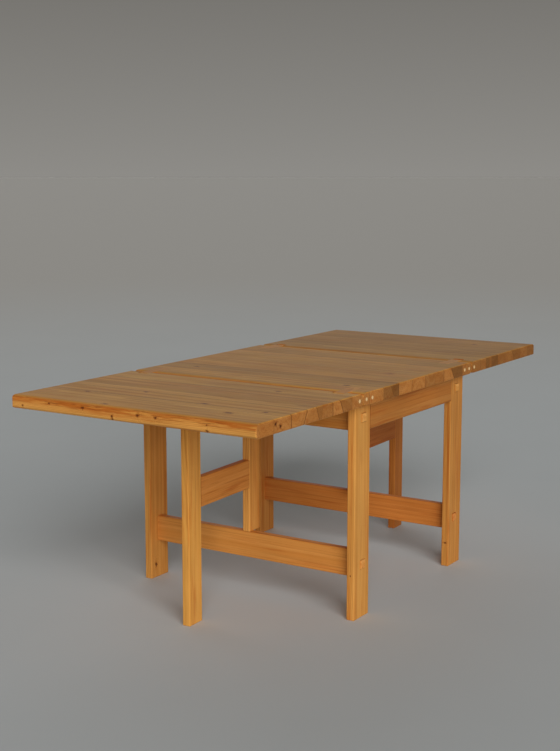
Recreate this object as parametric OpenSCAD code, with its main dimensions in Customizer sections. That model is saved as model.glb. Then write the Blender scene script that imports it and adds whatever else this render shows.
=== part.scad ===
// Gateleg dining table in solid pine, with two hinged leaves and two swinging gates.
// The long axis is X, the top is at +Z and the floor is Z = 0, under the middle of the top.

/* [Top] */
// Height of the table top above the floor
table_h = 730; // [700:1:760]
// Thickness of the centre panel and the leaves
top_t = 42; // [40:1:44]
// Width of the top, along its hinge lines
top_w = 890; // [880:1:920]
// Length of the whole top with both leaves up
top_l = 1968; // [1900:2:2000]
// Radius on the upper edge of each leaf's free end
end_r_upper = 18; // [8:1:20]
// Radius on the lower edge of each leaf's free end
end_r_lower = 12; // [2:1:14]
// Radius on the upper and lower edges of the end grain
end_grain_r = 5; // [2:0.5:6]
// Radius of the leaves' free corners, seen from above
corner_r = 5; // [2:1:8]

/* [Hinges] */
// Distance from the table's middle to a leaf's pivot pin
pivot_x = 418; // [416:1:420]
// Distance from the pivot pin to the first fixed pin
pin_step = 43; // [43:0.5:45]
// Distance from the first fixed pin to the second
pin_step_inner = 37; // [34:1:40]
// Diameter of the brass pins
pin_d = 12; // [10:0.5:13]
// Length of the brass pins
pin_l = 130; // [120:1:140]
// Height of each pin's domed head above the end grain
pin_proud = 2; // [1:0.1:3]
// Width of a hinge arm, along the hinge line
arm_w = 40; // [36:1:44]
// Distance from the end grain to a hinge arm
arm_inset = 48; // [40:1:52]
// Distance from the second fixed pin to the arm's inner end
arm_tail = 30; // [24:1:34]
// Gap between a hinge arm and the slot in its leaf
arm_gap = 1; // [0.5:0.1:2]

/* [Frame] */
// Length of the frame over the legs
frame_l = 780; // [770:1:786]
// Width of the frame over the legs
frame_w = 830; // [800:1:850]
// Thickness of every plank of the frame and the gates
plank_t = 28; // [26:1:30]
// Width of a corner leg
leg_w = 95; // [90:1:100]
// Height of the aprons under the top
apron_h = 88; // [80:1:95]
// Height of the lower stretchers
stretcher_h = 88; // [80:1:95]
// Height of the stretchers' lower edge above the floor
stretcher_z = 130; // [110:1:150]
// Distance from a leg's outer face to the side apron and stretcher
recess = 38; // [36:1:40]
// Radius on the long edges of every plank
edge_r = 4; // [2:0.5:5]
// Chamfer at the feet
foot_chamfer = 2; // [1:0.5:3]
// Length that the through tenons stand out of the legs
tenon_proud = 3; // [1:0.5:4]
// Chamfer on the end of the through tenons
tenon_chamfer = 1.5; // [0.5:0.5:2]
// Space left above and below each through tenon in its mortise
mortise_play = 1.2; // [0:0.1:2]

/* [Gates] */
// Distance from a gate's pivot axis to its outer edge
gate_reach = 370; // [350:1:370]
// Width of a gate's outer leg
gate_leg_w = 70; // [64:1:72]
// Width of a gate's pivot post
gate_post_w = 66; // [60:1:70]
// Height of a gate's rail
gate_rail_h = 95; // [85:1:100]
// Height of the gate rail's lower edge above the floor
gate_rail_z = 366; // [340:1:380]
// Distance of a pivot from the middle of the frame, away from the side it folds to
gate_shift = 18; // [12:1:22]
// Angle by which the drawn gates stand short of square
gate_swing = 2.4; // [0:0.1:4]
// Clearance above and below a pivot post, and above a gate's leg
gate_gap = 0.5; // [0.3:0.1:1]
// Diameter of the pivot dowels
dowel_d = 14; // [12:1:16]
// Length of a pivot dowel in the post, and in the apron or stretcher
dowel_half = 24; // [20:1:26]

/* [Hidden] */

$fn = 64;
panel_r = top_t / 2;
panel_z = table_h - top_t;
pin_z = table_h - panel_r;
pin_r = pin_d / 2;
dome_r = (pin_r * pin_r + pin_proud * pin_proud) / (2 * pin_proud);
running_gap = 0.05;
half_l = top_l / 2;
half_w = top_w / 2;
fixed_x = pivot_x - pin_step;
inner_x = fixed_x - pin_step_inner;
arm_x = inner_x - arm_tail;
arm_y = half_w - arm_inset - arm_w;
slot_side_gap = arm_gap / 2;

leg_x = frame_l / 2;
leg_y = frame_w / 2;
side_x = leg_x - recess - plank_t;
apron_z = panel_z - apron_h;
through_h = 28;
mortise_h = through_h + 2 * mortise_play;
blind_l = 24;
blind_h = 50;
blind_t = 10;
cut = 1;

pivot_axis_x = leg_x - recess - plank_t / 2;
gate_post_x = leg_x - recess - gate_post_w;
gate_leg_x = pivot_axis_x + gate_reach - gate_leg_w;
gate_rail_x = leg_x - recess;
gate_rail_l = gate_leg_x - gate_rail_x;
post_z = stretcher_z + stretcher_h + gate_gap;
post_l = apron_z - gate_gap - post_z;
dowel_r = dowel_d / 2;
dowel_gap = 0.08;
dowel_hole_spare = 2;

screw_r = 2.4;
screw_head_r = 4.5;
screw_head_h = 3;
screw_seat = 55;
screw_pocket_r = 5.5;
screw_clear_r = 2.7;
screw_bite = 24;
screw_x = 150;
screw_y = 200;

PINE = [0.83, 0.56, 0.28];
PINE_LIGHT = [0.88, 0.64, 0.36];
PINE_DARK = [0.74, 0.46, 0.22];
BRASS = [0.86, 0.70, 0.38];
BEECH = [0.82, 0.66, 0.48];
STEEL = [0.62, 0.63, 0.65];

// A rectangle from the origin with four rounded corners.
module rounded_rect(size_x, size_y, r) {
    translate([r, 0]) square([size_x - 2 * r, size_y]);
    translate([0, r]) square([size_x, size_y - 2 * r]);
    for (x = [r, size_x - r])
        for (y = [r, size_y - r])
            translate([x, y]) circle(r);
}

// A rectangle centred on Y with its two lower corners cut off.
module chamfered_foot(size_x, size_y, c) {
    polygon([
        [-size_x / 2 + c, 0], [size_x / 2 - c, 0], [size_x / 2, c],
        [size_x / 2, size_y], [-size_x / 2, size_y], [-size_x / 2, c]
    ]);
}

// Extrusions along X and along Y, centred on the origin.
// A profile's own X and Y become Y and Z along X, and X and Z along Y.
module along_x(length) {
    rotate([90, 0, 90]) linear_extrude(length, center = true) children();
}

module along_y(length) {
    rotate([90, 0, 0]) linear_extrude(length, center = true) children();
}

// A plank that stands on its end, with chamfers at its lower end.
module upright(size_x, size_y, height, foot) {
    intersection() {
        linear_extrude(height) rounded_rect(size_x, size_y, edge_r);
        translate([size_x / 2, size_y / 2, 0])
            along_y(size_y) chamfered_foot(size_x, height, foot);
        translate([size_x / 2, size_y / 2, 0])
            along_x(size_x) chamfered_foot(size_y, height, foot);
    }
}

// Copies a part from the +X, +Y corner to the corner that sign_x and sign_y name.
module place(sign_x, sign_y = 1) {
    mirror([sign_x < 0 ? 1 : 0, 0, 0])
        mirror([0, sign_y < 0 ? 1 : 0, 0])
            children();
}

/* Frame */

module corner_leg(sign_x, sign_y) {
    color(PINE) place(sign_x, sign_y) difference() {
        translate([leg_x - leg_w, leg_y - plank_t, 0])
            upright(leg_w, plank_t, panel_z, foot_chamfer);
        for (z = [apron_z + apron_h / 2, stretcher_z + stretcher_h / 2])
            translate([side_x, leg_y - plank_t - cut, z - mortise_h / 2])
                cube([plank_t, plank_t + 2 * cut, mortise_h]);
        translate([
            leg_x - leg_w - cut,
            leg_y - plank_t / 2 - blind_t / 2,
            apron_z + apron_h / 2 - blind_h / 2
        ])
            cube([blind_l + cut, blind_t, blind_h]);
    }
}

// Vertical pocket for a screw that holds the top, from a rail's lower edge.
module screw_pocket() {
    translate([0, 0, apron_z - cut])
        cylinder(r = screw_pocket_r, h = screw_seat + cut);
    translate([0, 0, apron_z])
        cylinder(r = screw_clear_r, h = apron_h + cut);
}

// Apron between the two legs of one long side.
module long_apron(sign_y) {
    rail_l = frame_l - 2 * leg_w;
    color(PINE_LIGHT) place(1, sign_y) difference() {
        union() {
            translate([0, leg_y - plank_t, apron_z])
                along_x(rail_l) rounded_rect(plank_t, apron_h, edge_r);
            translate([0, leg_y - plank_t / 2, apron_z + apron_h / 2])
                cube([rail_l + 2 * blind_l, blind_t, blind_h], center = true);
        }
        for (x = [-screw_x, screw_x])
            translate([x, leg_y - plank_t / 2, 0]) screw_pocket();
    }
}

// Tenon that passes through both legs of one short side, with chamfered ends.
module through_tenon() {
    length = frame_w + 2 * tenon_proud;
    c = tenon_chamfer;
    intersection() {
        linear_extrude(through_h, center = true)
            tenon_outline(plank_t, length, c);
        rotate([0, 90, 0]) linear_extrude(plank_t, center = true)
            tenon_outline(through_h, length, c);
    }
}

module tenon_outline(size_x, size_y, c) {
    polygon([
        [-size_x / 2 + c, -size_y / 2], [size_x / 2 - c, -size_y / 2],
        [size_x / 2, -size_y / 2 + c], [size_x / 2, size_y / 2 - c],
        [size_x / 2 - c, size_y / 2], [-size_x / 2 + c, size_y / 2],
        [-size_x / 2, size_y / 2 - c], [-size_x / 2, -size_y / 2 + c]
    ]);
}

// Board of one short side between its legs, with its through tenons.
module side_board(z, height) {
    translate([side_x, 0, z])
        along_y(frame_w - 2 * plank_t) rounded_rect(plank_t, height, edge_r);
    translate([side_x + plank_t / 2, 0, z + height / 2])
        through_tenon();
}

module dowel_hole(z) {
    depth = dowel_half + dowel_hole_spare;
    translate([pivot_axis_x, -gate_shift, z])
        cylinder(r = dowel_r + dowel_gap, h = 2 * depth, center = true);
}

module side_apron(sign_x) {
    color(PINE) place(sign_x, sign_x) difference() {
        side_board(apron_z, apron_h);
        dowel_hole(apron_z);
        for (y = [-screw_y, screw_y])
            translate([side_x + plank_t / 2, y, 0]) screw_pocket();
    }
}

module stretcher(sign_x) {
    color(PINE_LIGHT) place(sign_x, sign_x) difference() {
        side_board(stretcher_z, stretcher_h);
        dowel_hole(stretcher_z + stretcher_h);
    }
}

/* Top */

// Section of the top's end grain: it rounds over the upper and lower edges.
module end_grain_trim(length) {
    translate([0, -half_w, panel_z])
        along_x(length) rounded_rect(top_w, top_t, end_grain_r);
}

// Bore or slot features that repeat at the front and rear of a hinge line.
module front_and_rear() {
    for (sign_y = [-1, 1])
        mirror([0, sign_y < 0 ? 1 : 0, 0]) children();
}

module left_and_right() {
    for (sign_x = [-1, 1])
        mirror([sign_x < 0 ? 1 : 0, 0, 0]) children();
}

// Straight bore along Y for a brass pin, open at the end grain.
module pin_hole(x, r) {
    translate([x, half_w - pin_l + pin_proud, pin_z])
        rotate([-90, 0, 0]) cylinder(r = r, h = pin_l + cut);
}

module centre_panel() {
    color(PINE_LIGHT) difference() {
        intersection() {
            translate([0, 0, pin_z]) along_y(top_w) union() {
                square([2 * fixed_x, top_t], center = true);
                for (x = [-fixed_x, fixed_x])
                    translate([x, 0]) circle(panel_r);
            }
            end_grain_trim(2 * pivot_x);
        }
        left_and_right() front_and_rear() {
            translate([arm_x, arm_y, panel_z - cut])
                cube([pivot_x - arm_x, arm_w, top_t + 2 * cut]);
            pin_hole(fixed_x, pin_r);
            pin_hole(inner_x, pin_r);
        }
        left_and_right() front_and_rear() {
            for (at = [[screw_x, leg_y - plank_t / 2], [side_x + plank_t / 2, screw_y]])
                translate([at[0], at[1], panel_z - cut])
                    cylinder(r = screw_r, h = screw_bite + cut);
        }
    }
}

// Section of a leaf: a full round about the pivot pin, and the eased free edge.
module leaf_section() {
    x_upper = half_l - end_r_upper;
    x_lower = half_l - end_r_lower;
    translate([pivot_x, pin_z]) circle(panel_r);
    translate([pivot_x, panel_z]) square([x_upper - pivot_x, top_t]);
    translate([x_upper, table_h - end_r_upper]) circle(end_r_upper);
    translate([x_lower, panel_z + end_r_lower]) circle(end_r_lower);
    polygon([
        [x_upper, panel_z], [x_lower, panel_z], [half_l, panel_z + end_r_lower],
        [half_l, table_h - end_r_upper], [x_upper, table_h]
    ]);
}

module leaf(sign_x) {
    slot_end = pivot_x + panel_r + arm_gap;
    color(PINE) place(sign_x) difference() {
        intersection() {
            along_y(top_w) leaf_section();
            end_grain_trim(2 * top_l);
            translate([-half_l, -half_w, 0])
                linear_extrude(table_h + cut) rounded_rect(top_l, top_w, corner_r);
        }
        front_and_rear() {
            translate([pivot_x - panel_r - cut, arm_y - slot_side_gap, panel_z - cut])
                cube([
                    slot_end - pivot_x + panel_r + cut,
                    arm_w + 2 * slot_side_gap,
                    top_t + 2 * cut
                ]);
            pin_hole(pivot_x, pin_r);
        }
    }
}

// Wooden hinge arm, rounded about the pivot pin and pinned twice into the centre panel.
module hinge_arm(sign_x, sign_y) {
    color(PINE_DARK) place(sign_x, sign_y) difference() {
        translate([0, arm_y + arm_w / 2, pin_z]) along_y(arm_w) union() {
            translate([arm_x, -panel_r]) square([pivot_x - arm_x, top_t]);
            translate([pivot_x, 0]) circle(panel_r);
        }
        pin_hole(pivot_x, pin_r + running_gap);
        pin_hole(fixed_x, pin_r);
        pin_hole(inner_x, pin_r);
    }
}

module brass_pin(x) {
    translate([x, half_w - pin_l + pin_proud, pin_z])
        rotate([-90, 0, 0])
            rotate_extrude() {
                square([pin_r, pin_l - pin_proud]);
                intersection() {
                    square([pin_r, pin_l]);
                    translate([0, pin_l - dome_r]) circle(dome_r);
                }
            }
}

module fixed_pins() {
    color(BRASS) left_and_right() front_and_rear()
        for (x = [fixed_x, inner_x]) brass_pin(x);
}

module pivot_pins(sign_x) {
    color(BRASS) place(sign_x) front_and_rear() brass_pin(pivot_x);
}

module top_screw() {
    head_z = apron_z + screw_seat;
    tip_z = panel_z + screw_bite;
    translate([0, 0, head_z - screw_head_h])
        cylinder(r = screw_head_r, h = screw_head_h);
    translate([0, 0, head_z - cut])
        cylinder(r = screw_r, h = tip_z - head_z + cut);
}

module top_screws() {
    color(STEEL) left_and_right() front_and_rear() {
        translate([screw_x, leg_y - plank_t / 2, 0]) top_screw();
        translate([side_x + plank_t / 2, screw_y, 0]) top_screw();
    }
}

/* Gates, drawn open. Half a turn of the table about Z brings one gate to the other's place. */

// Where a gate stands: turned about its pivot, which is in the middle of its boards' thickness.
module gate_plane(sign_x) {
    place(sign_x, sign_x)
        translate([pivot_axis_x, -gate_shift, 0])
            rotate([0, 0, gate_swing])
                translate([-pivot_axis_x, -plank_t / 2, 0])
                    children();
}

// Mortise or tenon of the gate rail, from x_from to x_to.
module rail_tenon(x_from, x_to) {
    translate([
        x_from, plank_t / 2 - blind_t / 2,
        gate_rail_z + gate_rail_h / 2 - blind_h / 2
    ])
        cube([x_to - x_from, blind_t, blind_h]);
}

module gate_post(sign_x) {
    color(PINE) gate_plane(sign_x) difference() {
        translate([gate_post_x, 0, post_z])
            linear_extrude(post_l) rounded_rect(gate_post_w, plank_t, edge_r);
        rail_tenon(gate_rail_x - blind_l, gate_rail_x + cut);
        pivot_dowels();
    }
}

module gate_leg(sign_x) {
    color(PINE_LIGHT) gate_plane(sign_x) difference() {
        translate([gate_leg_x, 0, 0])
            upright(gate_leg_w, plank_t, panel_z - gate_gap, foot_chamfer);
        rail_tenon(gate_leg_x - cut, gate_leg_x + blind_l);
    }
}

module gate_rail(sign_x) {
    color(PINE) gate_plane(sign_x) {
        translate([gate_rail_x + gate_rail_l / 2, 0, gate_rail_z])
            along_x(gate_rail_l) rounded_rect(plank_t, gate_rail_h, edge_r);
        rail_tenon(gate_rail_x - blind_l, gate_leg_x + blind_l);
    }
}

// The upper dowel turns in the side apron and the lower one in the stretcher.
module pivot_dowels() {
    for (z = [post_z, post_z + post_l])
        translate([pivot_axis_x, plank_t / 2, z])
            cylinder(r = dowel_r, h = 2 * dowel_half, center = true);
}

module gate_dowels(sign_x) {
    color(BEECH) gate_plane(sign_x) pivot_dowels();
}

corner_leg(-1, -1);  // leg_front_left
corner_leg(1, -1);  // leg_front_right
corner_leg(-1, 1);  // leg_rear_left
corner_leg(1, 1);  // leg_rear_right
long_apron(-1);  // apron_front
long_apron(1);  // apron_rear
side_apron(-1);  // apron_left
side_apron(1);  // apron_right
stretcher(-1);  // stretcher_left
stretcher(1);  // stretcher_right
centre_panel();
leaf(-1);  // leaf_left
leaf(1);  // leaf_right
hinge_arm(-1, -1);  // hinge_arm_front_left
hinge_arm(1, -1);  // hinge_arm_front_right
hinge_arm(-1, 1);  // hinge_arm_rear_left
hinge_arm(1, 1);  // hinge_arm_rear_right
fixed_pins();
pivot_pins(-1);  // pivot_pins_left
pivot_pins(1);  // pivot_pins_right
top_screws();
gate_post(-1);  // gate_post_left
gate_leg(-1);  // gate_leg_left
gate_rail(-1);  // gate_rail_left
gate_dowels(-1);  // gate_dowels_left
gate_post(1);  // gate_post_right
gate_leg(1);  // gate_leg_right
gate_rail(1);  // gate_rail_right
gate_dowels(1);  // gate_dowels_right
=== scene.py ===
"""Looks of the pine gateleg table: lacquered pine, brass pins, and a soft low light from the front."""

import math

import bpy
from mathutils import Euler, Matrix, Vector


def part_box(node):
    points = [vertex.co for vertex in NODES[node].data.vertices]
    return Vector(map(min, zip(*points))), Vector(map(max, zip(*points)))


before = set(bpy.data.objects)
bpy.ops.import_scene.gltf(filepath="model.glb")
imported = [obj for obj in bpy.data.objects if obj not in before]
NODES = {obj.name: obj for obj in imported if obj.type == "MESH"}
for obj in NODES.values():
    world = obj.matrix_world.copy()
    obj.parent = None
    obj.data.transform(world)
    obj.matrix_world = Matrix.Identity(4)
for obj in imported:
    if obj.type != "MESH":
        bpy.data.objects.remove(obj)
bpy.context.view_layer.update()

AXES = "XYZ"


# ---------------------------------------------------------------- node graphs


class Graph:
    """A short way to write a material's node tree. Its methods return output sockets."""

    def __init__(self, name):
        self.material = bpy.data.materials.new(name)
        self.material.use_nodes = True
        self.tree = self.material.node_tree
        self.tree.nodes.clear()

    def add(self, kind, inputs=(), output=0, **settings):
        node = self.tree.nodes.new(kind)
        for key, value in settings.items():
            setattr(node, key, value)
        for key, value in dict(inputs).items():
            if isinstance(value, bpy.types.NodeSocket):
                self.tree.links.new(value, node.inputs[key])
            else:
                node.inputs[key].default_value = value
        return node.outputs[output] if node.outputs else None

    def place(self):
        return self.add("ShaderNodeTexCoord", output=3)

    def normal(self):
        return self.add("ShaderNodeTexCoord", output=1)

    def math(self, operation, a, b=0.0, c=0.0):
        return self.add("ShaderNodeMath", {0: a, 1: b, 2: c}, operation=operation)

    def times(self, a, b):
        return self.math("MULTIPLY", a, b)

    def plus(self, a, b):
        return self.math("ADD", a, b)

    def minus(self, a, b):
        return self.math("SUBTRACT", a, b)

    def times_plus(self, a, b, c):
        return self.math("MULTIPLY_ADD", a, b, c)

    def larger(self, a, b):
        return self.math("MAXIMUM", a, b)

    def length(self, *parts):
        total = 0.0
        for part in parts:
            total = self.times_plus(part, part, total)
        return self.math("SQRT", total)

    def split(self, vector):
        node = self.add("ShaderNodeSeparateXYZ", {0: vector}).node
        return [node.outputs[axis] for axis in AXES]

    def join(self, x, y, z):
        return self.add("ShaderNodeCombineXYZ", {0: x, 1: y, 2: z})

    def noise(self, vector, scale, detail=2.0, roughness=0.5):
        inputs = {"Vector": vector, "Scale": scale, "Detail": detail, "Roughness": roughness}
        return self.add("ShaderNodeTexNoise", inputs)

    def mix(self, factor, a, b, blend="MIX"):
        inputs = {0: factor, 6: a, 7: b}
        return self.add("ShaderNodeMix", inputs, output=2, data_type="RGBA", blend_type=blend)

    def span(self, value, low, high, to_low=0.0, to_high=1.0):
        """value taken from low..high to to_low..to_high by a smooth step, held at both ends."""
        inputs = {0: value, 1: low, 2: high, 3: to_low, 4: to_high}
        return self.add("ShaderNodeMapRange", inputs, interpolation_type="SMOOTHSTEP")

    def finish(self, color, roughness, bump=None, bump_height=0.0005, **sockets):
        inputs = {"Base Color": color, "Roughness": roughness}
        for key, value in sockets.items():
            inputs[key.replace("_", " ")] = value
        if bump is not None:
            inputs["Normal"] = self.add(
                "ShaderNodeBump", {"Strength": 1.0, "Distance": bump_height, "Height": bump}
            )
        shader = self.add("ShaderNodeBsdfPrincipled", inputs)
        self.add("ShaderNodeOutputMaterial", {"Surface": shader})
        return self.material


def rgb(red, green, blue):
    return (red, green, blue, 1.0)


# ---------------------------------------------------------------- pine

EARLY_WOOD = rgb(0.640, 0.275, 0.055)
PALE_WOOD = rgb(0.740, 0.365, 0.090)
LATE_WOOD = rgb(0.400, 0.125, 0.018)
RED_STREAK = rgb(0.480, 0.120, 0.014)
HEART_STREAK = rgb(0.170, 0.036, 0.008)
KNOT_CORE = rgb(0.125, 0.032, 0.008)
KNOT_RIM = rgb(0.360, 0.090, 0.012)
END_GRAIN = rgb(0.66, 0.60, 0.66)
TENON_END = rgb(1.30, 1.45, 1.75)
# Painted shade and cool grey sheen, multiplied into the panels' upward faces so that the top reads darker
# and greyer than the edges.
TOP_PAINTED_SHADE_AND_SHEEN = rgb(0.87, 0.97, 0.93)
JOINT_LINE = rgb(0.30, 0.22, 0.20)

# In metres: the width of a year's ring, and how far the rings wander from true circles.
RING_STEP = 0.0030
RING_WANDER = 0.030
# Per metre: bands of paler and darker years, and the noises' fineness across and along the grain.
RING_BANDS = 55.0
WANDER_FINENESS = (6.0, 1.3)
FIBRE_FINENESS = (900.0, 16.0)
STREAK_FINENESS = (120.0, 1.8)
RESIN_FINENESS = (60.0, 3.0)
# How strongly each layer of the grain covers the colour below it.
STREAK_SHARE = 0.62
RED_SHARE = 0.65
FIBRE_SHARE = 0.30
RIM_SHARE = 0.55
CORE_SHARE = 0.92
KNOT_CELL = 0.125
KNOT_SHARE = 0.12
RELIEF_HEIGHT = 0.00025
PANEL_MIDDLE_HEIGHT = 0.709
LAST_STAVE_WIDTH = 0.07
STAVE_SHIFT = 40.0
# A stave's tree centre: how far it strays sideways, and how far above or below the panel it lies.
HEART_STRAY = 0.022
HEART_DEPTH = 0.034
HEART_DEPTH_CHANGE = 0.014
JOINT_LINE_SPAN = (0.0005, 0.0027)
LACQUER_COAT = 0.03
LACQUER_COAT_ROUGHNESS = 0.30
LACQUER_SPECULAR = 0.07


def knot_fields(g, u, v, along, knots):
    """Mask of the knots' cores, mask of their rims, and how far they push the rings aside."""
    core, rim, push = 0.0, 0.0, 0.0
    ragged = g.noise(g.join(u, v, along), 260.0, 2.0)
    for at_u, at_v, at, radius, stretch in knots:
        near = g.length(g.minus(u, at_u), g.minus(v, at_v), g.times(g.minus(along, at), 1.0 / stretch))
        near = g.times(near, g.times_plus(ragged, 2.4, -0.1))
        core = g.larger(core, g.span(near, radius * 0.5, radius, 1.0, 0.0))
        rim = g.larger(rim, g.span(near, radius * 0.7, radius * 1.9, 1.0, 0.0))
        push = g.plus(push, g.span(near, radius * 0.6, radius * 5.0, radius * 0.8, 0.0))
    return core, rim, push


def scattered_knots(g, vector, size, share):
    """Small knots at random: a few cells of a cell pattern hold one each."""
    cells = g.add("ShaderNodeTexVoronoi", {"Vector": vector, "Scale": 1.0 / size, "Randomness": 1.0}).node
    chosen = g.math("LESS_THAN", g.split(cells.outputs["Color"])[0], share)
    near = cells.outputs["Distance"]
    core = g.times(g.span(near, 0.030, 0.060, 1.0, 0.0), chosen)
    rim = g.times(g.span(near, 0.045, 0.150, 1.0, 0.0), chosen)
    return core, rim


def stave_fields(g, u, v, staves):
    """Tone, ring centre and joint line of a panel's glued staves.

    Each stave is (where it starts, lean of that joint, tone, darkness of the joint line).
    """
    middle = PANEL_MIDDLE_HEIGHT
    tone, centre_u, centre_v, line = staves[0][2], staves[0][0], middle, 0.0
    before = (staves[0][2], staves[0][0], middle)
    for number, (start, lean, stave_tone, dark) in enumerate(staves):
        stop = staves[number + 1][0] if number + 1 < len(staves) else start + LAST_STAVE_WIDTH
        swing = math.sin(2.4 * number + 0.7)
        heart = (
            stave_tone,
            (start + stop) / 2 + HEART_STRAY * swing,
            middle + (HEART_DEPTH + HEART_DEPTH_CHANGE * math.cos(1.7 * number)) * (-1) ** number,
        )
        leaned = g.times_plus(g.minus(v, middle), -lean, u) if lean else u
        here = g.math("GREATER_THAN", leaned, start)
        tone = g.times_plus(here, heart[0] - before[0], tone)
        centre_u = g.times_plus(here, heart[1] - before[1], centre_u)
        centre_v = g.times_plus(here, heart[2] - before[2], centre_v)
        if dark:
            gap = g.math("ABSOLUTE", g.minus(leaned, start))
            line = g.larger(line, g.span(gap, *JOINT_LINE_SPAN, dark, 0.0))
        before = heart
    return tone, centre_u, centre_v, line


def edge_streaks(g, color, height, along):
    """Red brown heartwood streaks in the upper half of a panel's edges that run along the grain."""
    on_edge = g.span(g.math("ABSOLUTE", g.split(g.normal())[0]), 0.35, 0.75)
    drift = g.times_plus(g.noise(g.join(g.times(along, 6.0), 0.0, 2.0), 1.0, 3.0), 0.016, -0.008)
    level = g.plus(height, drift)
    broad = g.noise(g.join(g.times(along, 7.0), g.times(level, 90.0), 4.0), 1.0, 4.0, 0.62)
    upper = g.span(level, 0.703, 0.717)
    streaks = g.times(g.span(broad, 0.36, 0.56), upper)
    thin = g.noise(g.join(g.times(along, 12.0), g.times(level, 300.0), 8.0), 1.0, 3.0, 0.6)
    color = g.mix(g.times(g.times(streaks, on_edge), 0.85), color, RED_STREAK)
    dark = g.times(g.span(thin, 0.52, 0.64), g.times_plus(upper, 0.85, 0.15))
    return g.mix(g.times(g.times(dark, on_edge), 0.60), color, HEART_STREAK)


def grain_noise(g, u, v, along, fineness, shift=0.0, detail=2.0, roughness=0.5):
    across, lengthwise = fineness
    place = g.join(g.times(u, across), g.times(v, across), g.times_plus(along, lengthwise, shift))
    return g.noise(place, 1.0, detail, roughness)


def pine(name, axis, pith, seed, tone, warmth, knots=(), staves=(), end_tint=END_GRAIN):
    """Lacquered pine with its grain along axis (0, 1 or 2).

    pith is where the tree's centre lies across the grain. knots are (u, v, along, radius,
    stretch along the grain) in metres. staves are a panel's glued staves.
    """
    g = Graph(name)
    place = g.place()
    parts = g.split(place)
    along = parts[axis]
    u, v = [parts[k] for k in range(3) if k != axis]
    centre_u, centre_v = pith
    if staves:
        stave_tone, centre_u, centre_v, line = stave_fields(g, u, v, staves)
        shift = g.times(centre_u, STAVE_SHIFT)
    else:
        shift = seed
    core, rim, push = knot_fields(g, u, v, along, knots)

    wander = g.minus(grain_noise(g, u, v, along, WANDER_FINENESS, shift), 0.5)
    radius = g.length(g.minus(u, centre_u), g.minus(v, centre_v))
    radius = g.plus(g.times_plus(wander, RING_WANDER, radius), push)
    year_place = g.math("DIVIDE", radius, RING_STEP)
    ring = g.math("FRACT", year_place)
    late = g.times(g.span(ring, 0.30, 0.86), g.span(ring, 0.90, 1.0, 1.0, 0.0))
    year_tone = g.add(
        "ShaderNodeTexWhiteNoise", {"W": g.math("FLOOR", year_place)}, noise_dimensions="1D"
    )
    band = g.noise(g.join(g.times(radius, RING_BANDS), shift, 0.0), 1.0, 2.0)

    fibre = grain_noise(g, u, v, along, FIBRE_FINENESS, 0.0, 3.0, 0.62)
    streak = grain_noise(g, u, v, along, STREAK_FINENESS, shift, 3.0, 0.60)
    resin = grain_noise(g, u, v, along, RESIN_FINENESS, shift, 4.0, 0.65)
    cloud = g.noise(g.join(u, v, g.times(along, 0.5)), 6.0, 2.0)

    color = g.mix(g.span(band, 0.30, 0.70), PALE_WOOD, EARLY_WOOD)
    color = g.mix(g.times(late, g.times_plus(year_tone, 0.46, 0.20)), color, LATE_WOOD)
    color = g.mix(g.span(streak, 0.48, 0.76, 0.0, STREAK_SHARE), color, LATE_WOOD)
    color = g.mix(g.span(resin, 0.52, 0.74, 0.0, RED_SHARE), color, RED_STREAK)
    color = g.mix(g.span(fibre, 0.50, 0.85, 0.0, FIBRE_SHARE), color, LATE_WOOD)
    facing = g.math("ABSOLUTE", g.split(g.normal())[axis])
    end = g.span(facing, 0.75, 0.95)
    # tone and warmth scale and redden the colour; for some frame parts they hold painted shade.
    shade = g.times(g.span(cloud, 0.3, 0.7, 0.92, 1.08), tone)
    if staves:
        flat_tone = g.times_plus(g.minus(stave_tone, 1.0), 0.30, 1.0)
        shade = g.times(shade, g.times_plus(end, g.minus(stave_tone, flat_tone), flat_tone))
    tint = g.join(shade, g.times(shade, 1.0 - warmth), g.times(shade, 1.0 - 1.3 * warmth))
    color = g.mix(1.0, color, tint, "MULTIPLY")
    if staves:
        color = g.mix(line, color, g.mix(1.0, color, JOINT_LINE, "MULTIPLY"))
        color = edge_streaks(g, color, v, along)
        # Painted shade and sheen: faces that point up are darkened and cooled, as a low light and a
        # grazing grey reflection would leave the top.
        top_painted_shade_mask = g.span(g.split(g.normal())[2], 0.70, 0.95)
        color = g.mix(top_painted_shade_mask, color, g.mix(1.0, color, TOP_PAINTED_SHADE_AND_SHEEN, "MULTIPLY"))

    squeezed = g.join(u, v, g.times(along, 0.6))
    small_core, small_rim = scattered_knots(g, squeezed, KNOT_CELL, KNOT_SHARE)
    core, rim = g.larger(core, small_core), g.larger(rim, small_rim)
    color = g.mix(g.times(rim, RIM_SHARE), color, KNOT_RIM)
    color = g.mix(g.times(core, CORE_SHARE), color, KNOT_CORE)
    color = g.mix(end, color, g.mix(1.0, color, end_tint, "MULTIPLY"))

    gloss = g.times_plus(fibre, 0.16, 0.36)
    gloss = g.times_plus(end, 0.12, gloss)
    gloss = g.times_plus(g.noise(place, 14.0, 2.0), 0.10, gloss)
    relief = g.times_plus(late, 0.35, g.times(fibre, 0.5))
    relief = g.times_plus(core, -0.6, relief)
    if staves:
        relief = g.times_plus(line, -1.0, relief)
    return g.finish(
        color,
        gloss,
        relief,
        RELIEF_HEIGHT,
        Coat_Weight=LACQUER_COAT,
        Coat_Roughness=LACQUER_COAT_ROUGHNESS,
        Specular_IOR_Level=LACQUER_SPECULAR,
    )


# ---------------------------------------------------------------- other materials

BRASS_BRIGHT = rgb(1.00, 0.73, 0.37)
BRASS_DULL = rgb(0.84, 0.54, 0.21)
BEECH_PALE = rgb(0.58, 0.38, 0.22)
BEECH_DARK = rgb(0.42, 0.24, 0.12)
ZINC_DARK = rgb(0.50, 0.51, 0.53)
ZINC_PALE = rgb(0.66, 0.66, 0.66)


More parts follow.
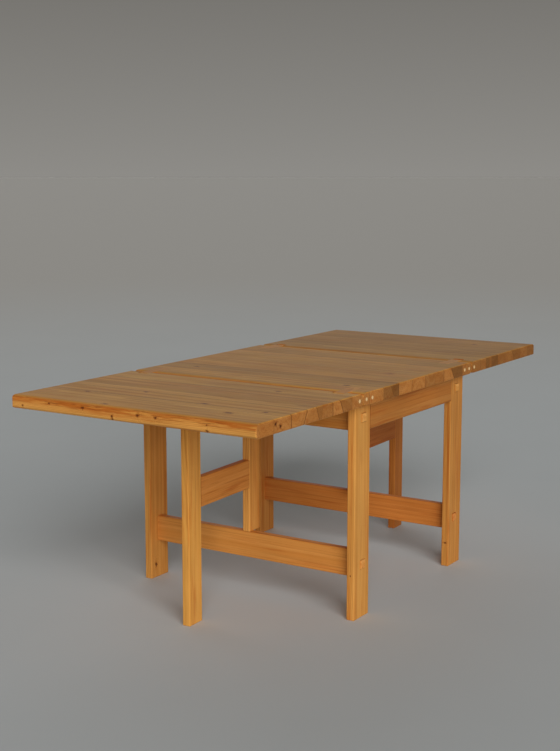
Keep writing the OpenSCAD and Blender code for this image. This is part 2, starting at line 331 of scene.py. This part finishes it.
def brass():
    """Dull lacquered brass: only partly metallic, so that it stays pale where it mirrors dark air."""
    g = Graph("brass_rod")
    place = g.place()
    tarnish = g.span(g.noise(place, 420.0, 4.0, 0.6), 0.50, 0.80)
    color = g.mix(tarnish, BRASS_BRIGHT, BRASS_DULL)
    gloss = g.times_plus(tarnish, 0.20, 0.34)
    return g.finish(color, gloss, g.noise(place, 2600.0, 2.0), 0.00005, Metallic=0.35)


def beech():
    g = Graph("beech_dowel")
    x, y, z = g.split(g.place())
    fibre = g.noise(g.join(g.times(x, 700.0), g.times(y, 700.0), g.times(z, 30.0)), 1.0, 3.0)
    color = g.mix(fibre, BEECH_PALE, BEECH_DARK)
    return g.finish(color, 0.5, fibre, 0.0001)


def zinc():
    g = Graph("zinc_screw")
    spangle = g.noise(g.place(), 900.0, 3.0)
    color = g.mix(spangle, ZINC_DARK, ZINC_PALE)
    return g.finish(color, g.times_plus(spangle, 0.25, 0.25), spangle, 0.00003, Metallic=1.0)


FLOOR_DARK = rgb(0.590, 0.632, 0.660)
FLOOR_LIGHT = rgb(0.630, 0.672, 0.700)
FLOOR_FAR = rgb(0.556, 0.546, 0.525)
FLOOR_FADE = (2.0, 14.0)
FLOOR_ROUGHNESS = 0.8


def floor_paint():
    """Pale paint that fades, between the two FLOOR_FADE distances, to the tone of the horizon."""
    g = Graph("studio_floor")
    place = g.place()
    x, y = g.split(place)[:2]
    near = g.mix(g.noise(place, 1.3, 3.0), FLOOR_DARK, FLOOR_LIGHT)
    color = g.mix(g.span(g.length(x, y), *FLOOR_FADE), near, FLOOR_FAR)
    return g.finish(color, FLOOR_ROUGHNESS)


# ---------------------------------------------------------------- which node gets what


def dress(node, material):
    slots = NODES[node].data.materials
    slots.clear()
    slots.append(material)


def plank(node, axis, number, tone, warmth, knots=(), end_tint=END_GRAIN):
    """A frame plank: its pith lies well outside it, so its rings show as near straight lines."""
    low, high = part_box(node)
    size = high - low
    middle = (low + high) / 2
    across = [k for k in range(3) if k != axis]
    wide = max(across, key=lambda k: size[k])
    side = -1 if number % 2 else 1
    pith = []
    for k in across:
        if k == wide:
            pith.append(middle[k] + side * (0.115 + 0.035 * math.cos(1.7 * number)))
        else:
            pith.append(middle[k] + 0.05 * math.sin(2.4 * number))
    dress(node, pine("pine_" + node, axis, pith, 3.7 * number, tone, warmth, knots, (), end_tint))


# Node, grain axis, tone and warmth. The low tones and strong warmth of apron_front, stretcher_right,
# gate_post_right, gate_leg_right and gate_rail_right are painted shade: these parts are darkened and
# reddened as if they lay in the table's shadow with warm bounce light.
PLANKS = [
    ("leg_front_left", 2, 1.13, 0.00),
    ("leg_front_right", 2, 0.94, 0.05),
    ("leg_rear_left", 2, 1.08, 0.02),
    ("leg_rear_right", 2, 0.90, 0.11),
    ("apron_front", 0, 0.80, 0.13),
    ("apron_rear", 0, 0.95, 0.03),
    ("apron_left", 1, 0.94, 0.05),
    ("apron_right", 1, 0.94, 0.04),
    ("stretcher_left", 1, 1.04, 0.10),
    ("stretcher_right", 1, 0.92, 0.24),
    ("gate_post_left", 2, 1.10, 0.02),
    ("gate_leg_left", 2, 1.27, -0.10),
    ("gate_rail_left", 0, 1.00, 0.13),
    ("gate_post_right", 2, 0.86, 0.16),
    ("gate_leg_right", 2, 0.81, 0.23),
    ("gate_rail_right", 0, 0.72, 0.30),
    ("hinge_arm_front_left", 0, 0.96, 0.01),
    ("hinge_arm_front_right", 0, 0.98, 0.01),
    ("hinge_arm_rear_left", 0, 0.94, 0.02),
    ("hinge_arm_rear_right", 0, 0.97, 0.01),
]

# Knots across, across, along the grain, radius, stretch, in the order of the axes.
LEG_KNOTS = {
    "leg_rear_left": [(-0.365, 0.387, 0.046, 0.0060, 1.5)],
    "leg_front_right": [(0.295, -0.403, 0.086, 0.0065, 0.6)],
    "leg_front_left": [(-0.390, -0.402, 0.145, 0.0028, 1.0)],
}
TENONED = ("apron_left", "apron_right", "stretcher_left", "stretcher_right")

for number, (node, axis, tone, warmth) in enumerate(PLANKS):
    end_tint = TENON_END if node in TENONED else END_GRAIN
    plank(node, axis, number + 1, tone, warmth, LEG_KNOTS.get(node, ()), end_tint)

# Staves of each panel: start, lean of the joint, tone, darkness of the joint line.
LEAF_LEFT_STAVES = [
    (-0.990, 0.0, 1.18, 0.0),
    (-0.898, 0.0, 1.08, 0.3),
    (-0.808, 0.0, 1.12, 0.9),
    (-0.732, 0.5, 1.10, 0.9),
    (-0.664, -0.4, 0.84, 0.6),
    (-0.640, 0.2, 1.02, 0.1),
    (-0.579, 0.0, 1.12, 0.8),
    (-0.526, -0.5, 0.80, 0.9),
    (-0.466, 0.0, 0.98, 0.3),
]
CENTRE_STAVES = [
    (-0.400, 0.0, 1.08, 0.0),
    (-0.357, 0.0, 1.18, 0.6),
    (-0.264, 0.0, 0.80, 0.5),
    (-0.205, -0.6, 0.62, 0.3),
    (-0.163, 0.0, 1.22, 0.8),
    (-0.070, 0.1, 1.14, 0.5),
    (0.029, 0.0, 0.94, 0.7),
    (0.099, 0.0, 0.98, 0.1),
    (0.169, 0.0, 1.14, 0.7),
    (0.240, -0.7, 0.62, 0.8),
    (0.318, 0.0, 0.98, 0.4),
]
LEAF_RIGHT_STAVES = [
    (0.390, 0.0, 1.00, 0.0),
    (0.470, 0.0, 1.02, 0.3),
    (0.522, 0.0, 0.64, 0.4),
    (0.552, 0.0, 0.86, 0.2),
    (0.571, 0.0, 0.60, 0.2),
    (0.628, 0.0, 0.90, 0.3),
    (0.700, 0.2, 0.96, 0.1),
    (0.772, -0.5, 0.74, 0.5),
    (0.840, 0.0, 0.90, 0.3),
    (0.915, 0.0, 0.78, 0.4),
]
LEAF_LEFT_KNOTS = [
    (-0.957, 0.731, 0.100, 0.006, 1.6),
    (-0.815, 0.731, 0.290, 0.007, 1.6),
    (-0.729, 0.731, 0.130, 0.006, 1.6),
    (-0.797, 0.731, -0.140, 0.007, 2.0),
    (-0.882, 0.731, -0.285, 0.009, 1.8),
    (-0.822, 0.731, -0.368, 0.006, 1.6),
    (-0.504, 0.731, -0.207, 0.006, 1.8),
    (-0.889, 0.716, -0.446, 0.007, 1.0),
    (-0.864, 0.706, -0.446, 0.006, 1.0),
    (-0.984, 0.701, 0.400, 0.0032, 1.2),
    (-0.984, 0.717, 0.295, 0.0034, 1.6),
    (-0.984, 0.716, 0.164, 0.0046, 1.7),
    (-0.984, 0.702, 0.053, 0.0052, 0.9),
    (-0.982, 0.694, 0.053, 0.0042, 0.9),
    (-0.984, 0.714, -0.041, 0.0056, 1.1),
    (-0.984, 0.714, -0.105, 0.0042, 1.5),
    (-0.982, 0.695, -0.282, 0.0042, 1.0),
    (-0.984, 0.711, -0.282, 0.0026, 1.0),
]
CENTRE_KNOTS = [(-0.219, 0.731, 0.310, 0.007, 1.6), (-0.290, 0.731, -0.325, 0.008, 1.8)]
LEAF_RIGHT_KNOTS = [(0.835, 0.731, -0.257, 0.007, 1.8)]

PANELS = [
    ("leaf_left", 0.3, 1.08, LEAF_LEFT_STAVES, LEAF_LEFT_KNOTS),
    ("centre_panel", 11.7, 1.03, CENTRE_STAVES, CENTRE_KNOTS),
    ("leaf_right", 23.4, 0.87, LEAF_RIGHT_STAVES, LEAF_RIGHT_KNOTS),
]
for node, seed, tone, staves, knots in PANELS:
    dress(node, pine("pine_" + node, 1, (0.0, 0.0), seed, tone, 0.0, knots, staves))

for node in ("fixed_pins", "pivot_pins_left", "pivot_pins_right"):
    dress(node, brass())
for node in ("gate_dowels_left", "gate_dowels_right"):
    dress(node, beech())
dress("top_screws", zinc())


# ---------------------------------------------------------------- stage, light and camera

FLOOR_RADIUS = 400.0
FLOOR_SIDES = 128


def make_floor():
    bpy.ops.mesh.primitive_circle_add(vertices=FLOOR_SIDES, radius=FLOOR_RADIUS, fill_type="NGON")
    floor = bpy.context.object
    floor.name = "studio_floor"
    floor.data.materials.append(floor_paint())


def window_light(name, azimuth, elevation, strength, spread, color):
    """A wide soft light from far away: azimuth is turned from +X towards +Y, in degrees."""
    data = bpy.data.lights.new(name, "SUN")
    data.energy = strength
    data.angle = math.radians(spread)
    data.color = color
    lamp = bpy.data.objects.new(name, data)
    turn, lift = math.radians(azimuth), math.radians(elevation)
    towards = Vector((math.cos(lift) * math.cos(turn), math.cos(lift) * math.sin(turn), math.sin(lift)))
    lamp.rotation_euler = towards.to_track_quat("Z", "Y").to_euler()
    bpy.context.scene.collection.objects.link(lamp)


HORIZON = rgb(0.266, 0.258, 0.241)
ZENITH = rgb(0.080, 0.074, 0.062)
ZENITH_FROM = 0.30


def make_world():
    """Grey studio air, paler at the horizon than overhead."""
    world = bpy.data.worlds.new("studio_air")
    world.use_nodes = True
    tree = world.node_tree
    coords = tree.nodes.new("ShaderNodeTexCoord")
    split = tree.nodes.new("ShaderNodeSeparateXYZ")
    ramp = tree.nodes.new("ShaderNodeMapRange")
    mix = tree.nodes.new("ShaderNodeMix")
    mix.data_type = "RGBA"
    mix.inputs[6].default_value = HORIZON
    mix.inputs[7].default_value = ZENITH
    ramp.inputs[2].default_value = ZENITH_FROM
    tree.links.new(coords.outputs["Generated"], split.inputs[0])
    tree.links.new(split.outputs["Z"], ramp.inputs[0])
    tree.links.new(ramp.outputs[0], mix.inputs[0])
    tree.links.new(mix.outputs[2], tree.nodes["Background"].inputs["Color"])
    bpy.context.scene.world = world


CAMERA_PLACE = (-3.817, -2.331, 1.393)
CAMERA_YAW = 32.59
CAMERA_PITCH = 8.86
CAMERA_LENS = 83.63
SENSOR_WIDTH = 36.0
CLIP_END = 1000.0


def make_camera():
    """The photograph's view: yaw is turned from +X towards +Y, pitch is downwards."""
    data = bpy.data.cameras.new("camera")
    data.sensor_fit = "HORIZONTAL"
    data.sensor_width = SENSOR_WIDTH
    data.lens = CAMERA_LENS
    data.clip_end = CLIP_END
    camera = bpy.data.objects.new("camera", data)
    camera.location = CAMERA_PLACE
    turn = (math.radians(90.0 - CAMERA_PITCH), 0.0, math.radians(CAMERA_YAW - 90.0))
    camera.rotation_euler = Euler(turn, "XYZ")
    bpy.context.scene.collection.objects.link(camera)
    bpy.context.scene.camera = camera


# Name, azimuth, elevation, strength, spread and colour.
LIGHTS = [
    ("key", 226.0, 22.0, 2.4, 45.0, (1.0, 0.985, 0.955)),
    ("back_fill", 50.0, 18.0, 0.55, 70.0, (0.97, 0.985, 1.0)),
]

make_floor()
make_world()
for light in LIGHTS:
    window_light(*light)
make_camera()
bpy.context.scene.view_settings.view_transform = "Standard"
